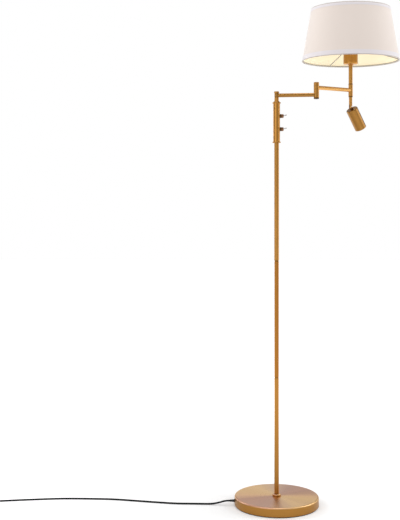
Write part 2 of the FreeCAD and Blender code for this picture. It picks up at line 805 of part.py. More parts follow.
def make_shade():
    fabric_inset = hem_thickness + layer_gap
    lining_inset = fabric_inset + fabric_thickness + layer_gap
    emit("shade_hems",
         cone_wall(0, bottom_hem, 0, hem_thickness),
         cone_wall(shade_height - top_hem, shade_height, 0, hem_thickness))
    emit("shade_fabric", cone_wall(0, shade_height, fabric_inset, fabric_thickness))
    emit("shade_lining", cone_wall(0, shade_height, lining_inset, lining_thickness))

    wire_inset_radial = lining_inset + lining_thickness + layer_gap + wire_diameter / 2 * 1.04
    top_ring, _ = wire_ring(shade_height - wire_inset, wire_inset_radial)
    emit("shade_top_ring", top_ring)

    bottom_ring, ring_radius = wire_ring(wire_inset, wire_inset_radial)
    hole = holder_diameter + 2 * fixed_fit
    fitter_top = fitter_foot + fitter_ring_thickness
    fitter = pipe(fitter_ring_diameter, hole, fitter_foot, fitter_top, stem_place).fuse(bottom_ring)
    start_radius = fitter_ring_diameter / 2 - 1.5
    start_height = fitter_foot - wire_diameter / 2 + 0.3
    for step in range(spoke_count):
        azimuth = spoke_azimuth + 360 * step / spoke_count
        start = stem_place + polar(start_radius, azimuth) + Vector(0, 0, start_height)
        bend = stem_place + polar(start_radius + 9, azimuth) + Vector(0, 0, start_height)
        end = stem_place + polar(ring_radius - 0.3, azimuth) + Vector(0, 0, shade_foot + wire_inset)
        spoke = sweep(path_edges([start, bend, end], [14.0]), wire_diameter)
        fitter = fitter.fuse(spoke)
    emit("shade_fitter", fitter)


def make_bulb():
    cap = bulb_cap_diameter / 2
    neck = bulb_neck_diameter / 2
    globe = bulb_diameter / 2
    middle = bulb_foot + bulb_length - globe
    cap_top = bulb_foot + bulb_cap_length
    cut_height = middle - globe_cut
    cut_radius = math.sqrt(globe**2 - globe_cut**2)
    emit("bulb_body", turned([
        (0, bulb_foot), (4.5, bulb_foot), (4.5, bulb_foot + 1.5), (cap - 2, bulb_foot + 5), (cap, bulb_foot + 6),
        (cap, cap_top), (neck, cap_top + 1), (neck + 0.6, cap_top + 6, 8), (cut_radius, cut_height), (0, cut_height),
    ], stem_place))
    shell = Part.makeSphere(globe).cut(Part.makeSphere(globe - globe_wall))
    below = Part.makeBox(bulb_diameter + 2, bulb_diameter + 2, bulb_diameter, Vector(-globe - 1, -globe - 1, -bulb_diameter - globe_cut))
    shell = shell.cut(below)
    shell.translate(stem_place + Vector(0, 0, middle))
    emit("bulb_globe", shell)


# ---------------------------------------------------------------- reading light
def make_reading_yoke():
    journal = journal_diameter / 2
    stem = reading_stem_diameter / 2
    bore = swivel_stud_bore / 2
    stud = swivel_stud_diameter / 2
    journal_top = swivel_top + swivel_journal_length
    nut_foot = spigot_top + turn_gap
    stud_top = nut_foot + swivel_nut_height + 0.5
    end = tilt_height - clevis_end
    slot_top = tilt_height + clevis_slot_above
    body = turned([
        (0, end), (stem, end, clevis_edge_radius), (stem, reading_stem_top), (journal, reading_stem_top),
        (journal, journal_top), (stud, journal_top), (stud, stud_top), (bore, stud_top),
        (bore, slot_top - 1), (0, slot_top - 1),
    ])
    slot = Part.makeBox(
        reading_stem_diameter * 2, clevis_slot, slot_top - end + 1,
        Vector(-reading_stem_diameter, -clevis_slot / 2, end - 1),
    )
    screw_hole = pivot_screw_diameter + 2 * fixed_fit
    cross = Part.makeCylinder(screw_hole / 2, 2 * reading_stem_diameter, Vector(0, -reading_stem_diameter, tilt_height), Vector(0, 1, 0))
    body = body.cut(slot).cut(cross)
    length = reading_stem_diameter - 1.0
    screw = Part.makeCylinder(pivot_screw_diameter / 2, length, Vector(0, -length / 2, tilt_height), Vector(0, 1, 0))
    for piece in (body, screw):
        piece.rotate(ORIGIN, UP, head_azimuth)
        piece.translate(stem_place)
    emit("reading_stem", body)
    emit("pivot_screw", screw)
    emit("swivel_nut", pipe(
        swivel_nut_diameter, swivel_stud_diameter + 2 * fixed_fit, nut_foot, nut_foot + swivel_nut_height, stem_place
    ))
    emit("swivel_washer", turned([
        (journal + fixed_fit, reading_stem_top), (tee_diameter / 2, reading_stem_top, 0.4),
        (tee_diameter / 2, swivel_top, 0.4), (journal + fixed_fit, swivel_top),
    ], stem_place))


def hang_head(solid):
    """Takes a piece of the head, made pointing straight down from the pivot, to its place."""
    solid.rotate(ORIGIN, Vector(0, 1, 0), -head_tilt)
    solid.rotate(ORIGIN, UP, head_azimuth)
    solid.translate(stem_place + Vector(0, 0, tilt_height))
    return solid


def make_reading_head():
    r = head_diameter / 2
    inner = r - head_wall
    recess = head_recess_diameter / 2
    stud_hole = eye_stud_diameter / 2 + fixed_fit
    rear = -head_offset
    cap_foot = rear - head_cap_height
    recess_floor = rear - head_recess_depth
    cap = turned([
        (recess, rear, 0.4), (r, rear, head_cap_radius), (r, cap_foot), (inner - fixed_fit, cap_foot),
        (inner - fixed_fit, cap_foot - head_cap_spigot), (stud_hole, cap_foot - head_cap_spigot),
        (stud_hole, recess_floor), (recess, recess_floor),
    ])
    emit("head_rear_cap", hang_head(cap))

    eye = Part.makeCylinder(eye_width / 2, eye_thickness, Vector(0, -eye_thickness / 2, 0), Vector(0, 1, 0))
    base_top = recess_floor + eye_base_height
    eye = eye.fuse(Part.makeBox(eye_width, eye_thickness, -base_top + 0.5, Vector(-eye_width / 2, -eye_thickness / 2, base_top - 0.5)))
    eye = eye.fuse(rod(eye_base_diameter, recess_floor, base_top))
    eye = eye.fuse(rod(eye_stud_diameter, recess_floor - eye_stud_length, recess_floor))
    hole = pivot_screw_diameter + 2 * running_fit
    eye = eye.cut(Part.makeCylinder(hole / 2, eye_width, Vector(0, -eye_width / 2, 0), Vector(0, 1, 0)))
    emit("head_eye", hang_head(eye))

    tube_end = cap_foot - head_tube_length
    emit("head_tube", hang_head(turned([
        (inner, cap_foot), (r, cap_foot), (r, tube_end, 0.5), (inner, tube_end, 0.4),
    ])))

    sink_top = cap_foot - head_cap_spigot - 1.5
    sink_foot = sink_top - heat_sink_height
    sink_radius = inner - 0.2
    sink = rod(2 * sink_radius, sink_foot, sink_top)
    sink = sink.cut(rod(eye_stud_diameter + 2, sink_top - 4, sink_top + 1))
    for step in range(heat_sink_fins):
        low = sink_top - (step + 1) * 2 * fin_groove
        sink = sink.cut(pipe(2 * r, 2 * (sink_radius - fin_groove_depth), low, low + fin_groove))
    led = rod(led_diameter, sink_foot - led_thickness, sink_foot)
    emit("led_module", hang_head(sink.fuse(led)))

    lens_rear = -lens_front + lens_thickness
    throat = reflector_throat / 2
    mouth = inner - 0.2
    emit("reflector", hang_head(turned([
        (throat, sink_foot - 0.1), (throat + reflector_wall, sink_foot - 0.1), (mouth, lens_rear + 0.1),
        (mouth - reflector_wall, lens_rear + 0.1),
    ])))
    emit("head_lens", hang_head(turned([
        (0, lens_rear), (mouth, lens_rear), (mouth, -lens_front, 0.5), (0, -lens_front),
    ])))


# ---------------------------------------------------------------- cord
def make_inlet():
    """The bush in the cover's wall, and the lead from it up to the switches."""
    wall = -base_radius
    hole = cord_diameter / 2 + fixed_fit
    inner = wall + cover_wall
    bush = turned([
        (hole, -bush_outside), (bush_nose_diameter / 2, -bush_outside, 0.3), (bush_root_diameter / 2, -1.8),
        (bush_flange_diameter / 2, -1.8, 0.5), (bush_flange_diameter / 2, -0.05), (bush_neck_diameter / 2, -0.05),
        (bush_neck_diameter / 2, bush_inside), (hole, bush_inside),
    ])
    bush.rotate(ORIGIN, Vector(0, 1, 0), 90)
    bush.translate(Vector(wall, 0, exit_height))
    emit("cord_bush", bush)

    lead_start = inner + bush_inside + 1.0
    recess = weight_recess_diameter / 2
    points = [
        Vector(-base_radius - bush_outside, 0, exit_height),
        Vector(lead_start + 40, 0, exit_height),
        Vector(-recess + 4, 0, lead_low_height),
        Vector(0, 0, lead_low_height),
        Vector(0, 0, sleeve_foot + lower_switch_height - switch_body_height / 2 - lead_top_margin),
    ]
    edges = path_edges(points, [30.0, 30.0, lead_bend_radius])
    lead = sweep(edges, cord_diameter)
    report_tube("inner_lead", lead, edges, cord_diameter)
    emit("inner_lead", lead)


def make_cord_run():
    radii = widest_radii(cord_route)
    print("cord_run radii:", ", ".join(f"{radius:.0f}" for radius in radii))
    edges = path_edges(cord_route, radii)
    tube = sweep(edges, cord_diameter)
    report_tube("cord_run", tube, edges, cord_diameter)
    emit("cord_run", tube)


last_run = cord_route[-1] - cord_route[-2]
coil_start_angle = math.atan2(last_run.y, last_run.x) + math.pi / 2
coil_middle = cord_route[-1] - Vector(
    coil_outer_radius * math.cos(coil_start_angle), coil_outer_radius * math.sin(coil_start_angle), floor_height
)
coil_turns_to_middle = coil_turns_in + 0.25
coil_turns = coil_turns_in + 0.5 + coil_turns_out


def coil_place(turn):
    """The coil's middle line and its direction after that many turns: in, up one layer, and out."""
    angle = coil_start_angle - 2 * math.pi * turn
    inwards = turn - coil_turns_to_middle
    radius = coil_outer_radius - coil_pitch * (coil_turns_to_middle - abs(inwards))
    growth = 0 if abs(inwards) < 1e-9 else math.copysign(coil_pitch, inwards)
    climb = min(max((turn - coil_turns_in) / 0.5, 0), 1)
    height = floor_height + coil_pitch * (1 - math.cos(math.pi * climb)) / 2
    steep = coil_pitch * math.pi * math.sin(math.pi * climb)
    place = coil_middle + Vector(radius * math.cos(angle), radius * math.sin(angle), height)
    way = Vector(
        growth * math.cos(angle) + 2 * math.pi * radius * math.sin(angle),
        growth * math.sin(angle) - 2 * math.pi * radius * math.cos(angle),
        steep,
    )
    return place, way.normalize()


def arc_between(start, knee, end):
    """The arc that leaves start and reaches end along the legs of the knee between them."""
    middle = (start + end) / 2
    first, second = knee - start, end - knee
    turn = first.getAngle(second)
    if turn < 1e-4:
        return Part.LineSegment(start, end).toShape()
    sag = start.distanceToPoint(end) / 2 * math.tan(turn / 4)
    return Part.Arc(start, middle + (knee - middle).normalize() * sag, end).toShape()


def biarc(start, way, end, end_way):
    """Two arcs that join smoothly, from one place and direction to another."""
    span = end - start
    a = 2 * (way.dot(end_way) - 1)
    b = -2 * span.dot(way + end_way)
    c = span.dot(span)
    leg = -c / b if abs(a) < 1e-9 else (-b - math.sqrt(b * b - 4 * a * c)) / (2 * a)
    first_knee, second_knee = start + way * leg, end - end_way * leg
    joint = (first_knee + second_knee) / 2
    return [arc_between(start, first_knee, joint), arc_between(joint, second_knee, end)]


def least_gap(edges, diameter):
    """The least distance between stretches of the tube that aren't neighbours, less its diameter."""
    spots, travelled = [], 0.0
    for edge in edges:
        steps = max(2, int(edge.Length / 2))
        for step in range(steps):
            share = step / steps
            parameter = edge.FirstParameter + (edge.LastParameter - edge.FirstParameter) * share
            spots.append((travelled + edge.Length * share, edge.valueAt(parameter)))
        travelled += edge.Length
    apart = min(
        second.distanceToPoint(first)
        for index, (at, first) in enumerate(spots)
        for further, second in spots[index + 1:]
        if further - at > 6 * diameter
    )
    return apart - diameter


def make_coil_and_plug():
    steps_in, steps_out = round(coil_turns_in * 4), round(coil_turns_out * 4)
    turns = [step / 4 for step in range(steps_in)] + [coil_turns_in, coil_turns_in + 0.25]
    turns += [coil_turns_in + 0.5 + coil_turns_out * step / steps_out for step in range(steps_out + 1)]
    places = [coil_place(turn) for turn in turns]
    first_place, first_way = places[0]
    lead_in = first_place + first_way * cord_diameter
    edges = [Part.LineSegment(first_place, lead_in).toShape()]
    places[0] = (lead_in, first_way)
    for (start, way), (end, end_way) in zip(places, places[1:]):
        edges += biarc(start, way, end, end_way)
    last, last_way = places[-1]
    last_flat = Vector(last_way.x, last_way.y, 0).normalize()
    out = last + last_way * coil_lead_out
    edges.append(Part.LineSegment(last, out).toShape())
    entry = Vector(out.x, out.y + coil_drop_length, plug_thickness / 2)
    edges += biarc(out, last_way, entry, Vector(0, 1, 0))
    plug_start = entry + Vector(0, cord_diameter, 0)
    edges.append(Part.LineSegment(entry, plug_start).toShape())
    coil = sweep(edges, cord_diameter)
    report_tube("cord_coil", coil, edges, cord_diameter)
    print(f"cord_coil: least gap to itself {least_gap(edges, cord_diameter):.2f} mm, last way {last_flat}")
    emit("cord_coil", coil)
    make_plug(plug_start)


def plug_section(width, height, rounding, distance):
    """A rounded rectangle across the plug's axis."""
    x, z = width / 2, height / 2
    ring = [Vector(-x, distance, -z), Vector(x, distance, -z), Vector(x, distance, z), Vector(-x, distance, z)]
    return Part.Wire(rounded_edges(ring, [rounding] * 4))


def make_plug(start):
    """A flat two-pin plug that lies on the floor, its pins pointing along +Y."""
    back = plug_relief_length
    sections = [
        plug_section(11, 9.4, 4.0, back), plug_section(21, 12.6, 4.6, back + plug_length * 0.28),
        plug_section(31, plug_thickness, 5.2, back + plug_length * 0.55),
        plug_section(plug_width, plug_thickness, 5.6, back + plug_length * 0.8),
        plug_section(plug_width, plug_thickness, 5.6, back + plug_length),
    ]
    body = outward(Part.makeLoft(sections, True, True))
    relief = turned([
        (0, 0), (cord_diameter / 2 + 0.7, 0), (plug_relief_diameter / 2, back + 1), (0, back + 1),
    ])
    relief.rotate(ORIGIN, Vector(1, 0, 0), -90)
    body = body.fuse(relief)
    face = back + plug_length
    pins = []
    for side in (-1, 1):
        root = Vector(side * pin_spacing / 2, face - pin_seat, 0)
        tip, seat = pin_diameter / 2, pin_seat_diameter / 2
        hole = Part.makeCylinder(seat + fixed_fit, pin_seat + 1, root, Vector(0, 1, 0))
        body = body.cut(hole)
        pin_end = pin_seat + pin_length
        pin = turned([
            (0, 0), (seat, 0), (seat, pin_seat), (tip, pin_seat), (tip, pin_end, tip * 0.98), (0, pin_end),
        ])
        pin.rotate(ORIGIN, Vector(1, 0, 0), -90)
        pin.translate(root)
        pins.append(pin)
    for piece in [body, *pins]:
        piece.translate(start)
    emit("plug_body", body)
    emit("plug_pins", *pins)
    print(f"plug pins: root face at {start + Vector(0, face, 0)}")


def main():
    os.makedirs("parts", exist_ok=True)
    make_base()
    make_fastenings()
    make_pole()
    make_housing()
    make_switches()
    make_post()
    make_inner_arm()
    make_outer_arm()
    make_lampholder()
    make_shade()
    make_bulb()
    make_reading_yoke()
    make_reading_head()
    make_inlet()
    make_cord_run()
    make_coil_and_plug()
    print(f"heights: pole top {pole_top:.1f}, inner axis {inner_axis:.2f}, outer axis {outer_axis:.2f}")
    print(f"shade {shade_foot:.1f} to {shade_foot + shade_height:.1f}, tilt pivot {tilt_height:.2f}")
    print(f"elbow {elbow_place}, stem {stem_place}, coil middle {coil_middle}")


main()
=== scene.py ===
"""Looks for a satin-brass floor lamp with a swing arm, a drum shade and a reading light."""

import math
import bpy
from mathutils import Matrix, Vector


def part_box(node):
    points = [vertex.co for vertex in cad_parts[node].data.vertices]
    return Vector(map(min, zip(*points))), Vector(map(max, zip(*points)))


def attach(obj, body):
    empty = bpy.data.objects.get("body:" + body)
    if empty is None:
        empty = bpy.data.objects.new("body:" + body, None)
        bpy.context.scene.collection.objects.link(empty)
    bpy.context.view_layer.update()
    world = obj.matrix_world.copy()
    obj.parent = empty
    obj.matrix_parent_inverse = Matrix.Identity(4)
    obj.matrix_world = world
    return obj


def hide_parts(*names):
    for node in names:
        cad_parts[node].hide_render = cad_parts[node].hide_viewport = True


bl_info = {
    "name": "Swing-arm floor lamp",
    "version": (1, 0, 0),
    "blender": (4, 5, 0),
    "location": "View3D > Sidebar > Lamp",
    "description": "Builds the shade, the lead and the finishes of a brass floor lamp",
    "category": "Object",
}

import bpy
from mathutils import Matrix, Vector

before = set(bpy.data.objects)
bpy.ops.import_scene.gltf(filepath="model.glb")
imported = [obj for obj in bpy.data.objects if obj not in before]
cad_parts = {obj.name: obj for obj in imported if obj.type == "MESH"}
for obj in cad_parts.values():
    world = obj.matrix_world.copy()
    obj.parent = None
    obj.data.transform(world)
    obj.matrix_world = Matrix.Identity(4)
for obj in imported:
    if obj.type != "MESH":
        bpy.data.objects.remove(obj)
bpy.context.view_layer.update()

MM = 0.001


def middle_of(node):
    """The middle of a CAD node's box."""
    low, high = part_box(node)
    return (low + high) / 2


STEM = middle_of("shade_fabric")            # the shade hangs round this axis
SHADE_LOW, SHADE_HIGH = (corner.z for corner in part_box("shade_fabric"))
INNER_AZIMUTH = math.radians(-7.8)
OUTER_AZIMUTH = math.radians(32.7)
HEAD_AZIMUTH = math.radians(37.6)
HEAD_TILT = math.radians(34.9)

# ------------------------------------------------------------------ the lead's route, in mm
LEAD_FLOOR = 2.6                            # height of the lead's axis on the floor
LEAD_NOSE = Vector((-140, 0, 13.4))         # where it leaves the base's bush
LEAD_START = [(0, 0, 0), (-14, 0, 0), (-32, 1.2, -6.2), (-56, 2.8, -10.7)]      # from the nose
LEAD_FLOOR_ROUTE = [                        # distance beyond the nose, and to its side
    (86, 5.0), (122, 6.4), (160, 7.2), (205, 16.4), (255, 27.4), (310, 41.0), (360, 51.2),
    (412, 54.4), (460, 56.6), (508, 57.2), (557, 52.6), (606, 46.2), (657, 38.8), (702, 31.4),
    (742, 24.4),
]
COIL_OUTER_RADIUS = 39.5
COIL_PITCH = 5.75                           # between neighbouring turns, and between its layers
COIL_TURNS_IN = 3.0
COIL_CLIMB = 0.5                            # turns in which it climbs to the upper layer
COIL_TURNS = 5.2778
COIL_POINTS = 12                            # control points to a turn
COIL_CURVE_SHARE = 0.966                    # the curve's radius over its control points'
COIL_LEAD_OUT = 27.0
COIL_DROP = 30.0                            # distance in which it comes down to the plug
OUT_EASE = Vector((-0.3, 6))                # first point of the straight way out of the coil
OUT_SHIFT = -0.76                           # the rest of that way, to the side of the last turn
PLUG_STUB = 9                               # the lead's end inside the plug's relief
PLUG_AXIS_HEIGHT = 6.85

# ------------------------------------------------------------------ the shade
SHADE_SEGMENTS = 160
SHADE_STEPS = 8                             # rings up the cloth
CLOTH_INSET = 0.5 * MM                      # from the shade's outline, as it lies under its hems
CLOTH_THICKNESS = 0.6 * MM
CLOTH_UV_RADIUS = 0.134                     # the shade's mean radius, which scales the weave
MERGE_DISTANCE = 1e-6
SMOOTH_ANGLE = math.radians(40)

# The hems' section: insets from the shade's outline, and distances from the rim, in mm.
HEM_SKIN = 0.02
HEM_BACK = 0.45
FOLD_SHADE_REACH = 2.2                            # up to here, the hem has the darker colour of the fold, painted shade
HEM_FOLD = (                                # in over the rim, round its wire and back
    (HEM_SKIN, 0.3), (0.35, -0.35), (1.3, -0.45), (2.3, -0.35), (2.65, 0.1), (2.65, 0.75),
    (2.08, 0.75), (2.08, -0.06), (HEM_BACK, -0.06),
)

# ------------------------------------------------------------------ the finishes
UPRIGHT = (1800, 1800, 9)                   # the grain's scale along X, Y and Z
LYING = (9, 1800, 1800)
HEAD_GRAIN = (420, 420, 6)
STEEL_GRAIN = (900, 900, 60)
PATCH_SCALE = 24.0
GRAIN_HEIGHT = 0.02 * MM
LACQUER = 0.12                              # weight of the metals' clear coat

# How far the brass of each piece is aged, and how its light and dark colours differ from it.
POLE_AGES = {"lower_pole": 0.3, "middle_pole": 0.85, "upper_pole": 0.1}
POLE_TONE, POLE_PATCHES = 0.88, 0.6
HOUSING_AGE, HOUSING_TONE = 0.15, 1.08
# painted shade: the inner arm and the reading head are darker copies of the brass
INNER_ARM_PAINTED_SHADE = 0.7, 0.75
HEAD_PAINTED_SHADE = 0.64, 0.5
# painted highlight: the outer arm is a paler copy of the brass
OUTER_ARM_PAINTED_HIGHLIGHT = 0.2

# Each plain finish: name, light and dark colour, settings, and the CAD nodes that take it.
PLASTIC_AND_METAL = (
    ("lever_chrome", (168, 164, 162), (150, 146, 144),
     {"roughness": 0.2, "scale": 300.0, "metallic": 1.0, "depth": 0.02},
     ("upper_toggle", "lower_toggle")),
    ("cast_iron", (66, 66, 68), (44, 44, 46),
     {"roughness": 0.7, "scale": 220.0, "metallic": 0.6, "depth": 0.6, "distance": 0.3 * MM},
     ("base_weight",)),
    ("base_felt", (38, 38, 38), (24, 24, 24),
     {"roughness": 0.92, "scale": 1500.0, "depth": 0.6, "distance": 0.2 * MM},
     ("base_pad",)),
    ("holder_plastic", (34, 34, 34), (24, 24, 24),
     {"roughness": 0.35, "scale": 500.0},
     ("lampholder", "shade_ring_nut")),
    ("bulb_plastic", (238, 236, 230), (228, 226, 220),
     {"roughness": 0.3, "scale": 200.0},
     ("bulb_body",)),
    ("sink_aluminium", (190, 192, 196), (170, 172, 176),
     {"roughness": 0.35, "scale": 300.0, "metallic": 1.0},
     ("led_module",)),
    ("reflector_coat", (235, 235, 235), (225, 225, 225),
     {"roughness": 0.1, "scale": 200.0, "metallic": 1.0, "depth": 0.02},
     ("reflector",)),
)

# ------------------------------------------------------------------ the stage
FLOOR_SIZE = 24
FLOOR_CENTRE = (-0.1, 0, 0)                 # the floor grows paler away from here
FLOOR_GLOW = (0.12, 1.0)                    # near the centre and far from it
FLOOR_GLOW_REACH = (0.12, 1.4)              # the distances at which it has these levels
LIGHTS = {                                  # place, width and height
    "key_light": ((-1.75, -2.3, 1.5), 1.7, 2.4),
    "left_light": ((-2.3, 1.3, 1.6), 1.2, 2.2),
    "right_light": ((2.6, 0.35, 1.5), 2.0, 2.2),
    "top_light": ((0.1, -0.4, 3.3), 0.9, 0.9),
}
LIGHT_AIM = Vector((0.05, 0, 0.95))
RIGHT_SHARE = 1.15                          # the right light's power over the left one's
OVERHEAD_LEVEL = 0.75
# The studio's brightness in gloss, from behind the lamp all round it: share of the turn, level.
PANELS = [
    (0.0, 0.85), (0.07, 0.25), (0.2, 0.1), (0.29, 0.3), (0.35, 1.1), (0.42, 0.8), (0.5, 0.7),
    (0.6, 0.62), (0.7, 0.48), (0.8, 0.35), (0.88, 0.2), (0.94, 0.3), (1.0, 0.85),
]


def coil_points():
    """The coil's control points: in on the floor, up one layer, and out to the plug."""
    (near_beyond, near_side), (beyond, side) = LEAD_FLOOR_ROUTE[-2:]
    start_angle = math.atan2(side - near_side, near_beyond - beyond) + math.pi / 2
    middle = Vector((
        LEAD_NOSE.x - beyond - COIL_OUTER_RADIUS * math.cos(start_angle),
        side - COIL_OUTER_RADIUS * math.sin(start_angle), 0,
    ))
    to_middle = COIL_TURNS_IN + COIL_CLIMB / 2
    points = []
    for step in range(1, math.floor(COIL_TURNS * COIL_POINTS) + 1):
        turn = step / COIL_POINTS
        angle = start_angle - 2 * math.pi * turn
        radius = COIL_OUTER_RADIUS - COIL_PITCH * (to_middle - abs(turn - to_middle))
        reach = radius / COIL_CURVE_SHARE
        climb = min(max((turn - COIL_TURNS_IN) / COIL_CLIMB, 0), 1)
        height = LEAD_FLOOR + COIL_PITCH * (1 - math.cos(math.pi * climb)) / 2
        points.append(middle + Vector((reach * math.cos(angle), reach * math.sin(angle), height)))
    end_angle = start_angle - 2 * math.pi * COIL_TURNS
    end_radius = COIL_OUTER_RADIUS - COIL_PITCH * (2 * to_middle - COIL_TURNS)
    end_x = middle.x + end_radius * math.cos(end_angle)
    top = LEAD_FLOOR + COIL_PITCH
    out_y = middle.y + COIL_LEAD_OUT
    points.append(Vector((end_x + OUT_EASE.x, middle.y + OUT_EASE.y, top)))
    points += [Vector((end_x + OUT_SHIFT, y, z)) for y, z in (
        (out_y, top),
        (out_y + COIL_DROP / 2, (top + PLUG_AXIS_HEIGHT) / 2),
        (out_y + COIL_DROP, PLUG_AXIS_HEIGHT),
        (out_y + COIL_DROP + PLUG_STUB, PLUG_AXIS_HEIGHT),
    )]
    return points


def lead_points():
    """Every control point of the lead, in metres, as in the CAD."""
    points = [LEAD_NOSE + Vector(step) for step in LEAD_START]
    points += [
        Vector((LEAD_NOSE.x - beyond, side, LEAD_FLOOR)) for beyond, side in LEAD_FLOOR_ROUTE
    ]
    return [point * MM for point in points + coil_points()]


# ------------------------------------------------------------------ settings
def srgb(red, green, blue):
    """A colour written as on a screen, in the linear values that Blender's sockets hold."""
    def linear(value):
        share = value / 255
        return share / 12.92 if share <= 0.04045 else ((share + 0.055) / 1.055) ** 2.4
    return linear(red), linear(green), linear(blue)


def colour_setting(name, description, default):
    """A colour that a user may pick."""
    return bpy.props.FloatVectorProperty(
        name=name, description=description, subtype="COLOR", size=3, min=0, max=1,
        default=default,
    )


class LampBrassSettings(bpy.types.PropertyGroup):
    """The lacquered brass of the tubes, hubs, base and reading head."""
    colour: colour_setting("Brass", "Colour of the lacquered brass", srgb(170, 122, 58))
    dark_colour: colour_setting(
        "Aged brass", "Colour where the lacquer is thicker", srgb(152, 98, 36)
    )
    # painted reflection: the base's top has a bright and a dim pair of sectors in these two
    # colours, as a bow-tie highlight
    painted_highlight_colour: colour_setting(
        "Painted highlight", "The paler sectors of the base's top", srgb(236, 194, 136)
    )
    painted_dim_sector_colour: colour_setting(
        "Rosy brass", "The darker sectors of the base's top", srgb(206, 158, 132)
    )
    trim_colour: colour_setting(
        "Bronze trim", "Colour of the dark rings and saddles", srgb(74, 50, 24)
    )
    nut_colour: colour_setting(
        "Switch nuts", "Colour of the nuts round the switches", srgb(128, 92, 66)
    )
    roughness: bpy.props.FloatProperty(
        name="Roughness", description="How matt the brushing leaves the brass", subtype="FACTOR",
        min=0, max=1, default=0.3,
    )
    grain_depth: bpy.props.FloatProperty(
        name="Grain depth", description="Strength of the brushed grain's relief",
        subtype="FACTOR", min=0, max=1, default=0.04,
    )


class LampShadeSettings(bpy.types.PropertyGroup):
    """The cloth shade on its stiff lining."""
    cloth_colour: colour_setting("Cloth", "Colour of the woven cloth", srgb(244, 231, 222))
    hem_colour: colour_setting(
        "Hem", "Colour of the doubled cloth at the rims", srgb(241, 234, 237)
    )
    # painted shade: the cloth folded round each rim is darker
    fold_shade_colour: colour_setting(
        "Fold", "Colour of the cloth folded round the rims", srgb(206, 196, 190)
    )
    lining_colour: colour_setting("Lining", "Colour of the lining's inside", srgb(250, 240, 214))
    bottom_radius: bpy.props.FloatProperty(
        name="Bottom radius", description="Outer radius at the lower rim", subtype="DISTANCE",
        unit="LENGTH", default=148 * MM,
    )
    top_radius: bpy.props.FloatProperty(
        name="Top radius", description="Outer radius at the upper rim", subtype="DISTANCE",
        unit="LENGTH", default=120 * MM,
    )
    weave_pitch: bpy.props.FloatProperty(
        name="Weave pitch", description="Distance between neighbouring threads",
        subtype="DISTANCE", unit="LENGTH", default=0.5 * MM,
    )
    glow: bpy.props.FloatProperty(
        name="Glow", description="Light that the lining gives off, as from the bulb", min=0,
        max=2, default=0.3,
    )


class LampLeadSettings(bpy.types.PropertyGroup):
    """The round mains lead."""
    diameter: bpy.props.FloatProperty(
        name="Diameter", description="Outer diameter of the lead's sheath", subtype="DISTANCE",
        unit="LENGTH", default=5.2 * MM,
    )
    colour: colour_setting("Sheath", "Colour of the sheath and plug", srgb(12, 12, 13))


class LampStageSettings(bpy.types.PropertyGroup):
    """The floor, the lights and the camera."""
    camera_place: bpy.props.FloatVectorProperty(
        name="Camera", description="Where the camera stands", subtype="TRANSLATION",
        unit="LENGTH", size=3, default=(-0.2298, -3.0, 0.9165),
    )
    lens: bpy.props.FloatProperty(
        name="Lens", description="Focal length on a 36 mm high sensor", unit="CAMERA",
        default=69.23,
    )
    rise: bpy.props.FloatProperty(
        name="Shift", description="Vertical shift that frames the base and the shade",
        default=-0.1162,
    )
    key_power: bpy.props.FloatProperty(
        name="Key light", description="Power of the tall light in front, on the left",
        unit="POWER", default=14,
    )
    side_power: bpy.props.FloatProperty(
        name="Side lights", description="Power of the tall light on either side",
        unit="POWER", default=26,
    )
    top_power: bpy.props.FloatProperty(
        name="Top light", description="Power of the light overhead", unit="POWER", default=15,
    )
    room_level: bpy.props.FloatProperty(
        name="Room", description="Light that reaches the lamp from all round", min=0, max=1,
        default=0.55,
    )


# ------------------------------------------------------------------ node helpers
def material_of(name):
    """A new material with its Principled shader."""
    material = bpy.data.materials.new(name)
    material.use_nodes = True
    return material, material.node_tree, material.node_tree.nodes["Principled BSDF"]


def feed(tree, value, socket):
    """Gives a socket its value: a node's output to link, or a number or colour to set."""
    if isinstance(value, bpy.types.NodeSocket):
        tree.links.new(value, socket)
    else:
        socket.default_value = value


def feed_all(tree, node, **values):
    """Feeds a node's sockets by their names, with an underscore for a space."""
    for name, value in values.items():
        feed(tree, value, node.inputs[name.replace("_", " ")])


def worked(tree, operation, *values, kind="ShaderNodeMath", output="Value"):
    """The result of a Math node, from sockets or numbers."""
    node = tree.nodes.new(kind)
    node.operation = operation
    for value, socket in zip(values, node.inputs):
        feed(tree, value, socket)
    return node.outputs[output]


def vector_worked(tree, operation, *values, output="Vector"):
    """The result of a Vector Math node, from sockets or numbers."""
    return worked(tree, operation, *values, kind="ShaderNodeVectorMath", output=output)


def split_of(tree, vector):
    """A vector's numbers, as sockets named X, Y and Z."""
    split = tree.nodes.new("ShaderNodeSeparateXYZ")
    feed_all(tree, split, Vector=vector)
    return split.outputs


def noise_of(tree, place, scale, detail, roughness=0.5):
    """A mask of noise."""
    noise = tree.nodes.new("ShaderNodeTexNoise")
    feed_all(tree, noise, Vector=place, Scale=scale, Detail=detail, Roughness=roughness)
    return noise.outputs["Fac"]


def mix_of(tree, data_type, mask, first, second):
    """A number or a colour between two, by a mask."""
    mix = tree.nodes.new("ShaderNodeMix")
    mix.data_type = data_type
    feed_all(tree, mix, Factor=mask, A=first, B=second)
    return mix.outputs["Result"]


def mixed_colour(tree, mask, first, second):
    """A colour between two of three numbers each, by a mask."""
    return mix_of(tree, "RGBA", mask, (*first, 1), (*second, 1))


def ranged(tree, value, low, high, source=(0.3, 0.7)):
    """A value spread from one range over another."""
    spread = tree.nodes.new("ShaderNodeMapRange")
    feed_all(tree, spread, Value=value, From_Min=source[0], From_Max=source[1], To_Min=low,
             To_Max=high)
    return spread.outputs["Result"]


def relief(tree, shader, height, strength, distance):
    """A bump on the shader's normal."""
    bump = tree.nodes.new("ShaderNodeBump")
    feed_all(tree, bump, Strength=strength, Distance=distance, Height=height)
    feed_all(tree, shader, Normal=bump.outputs["Normal"])


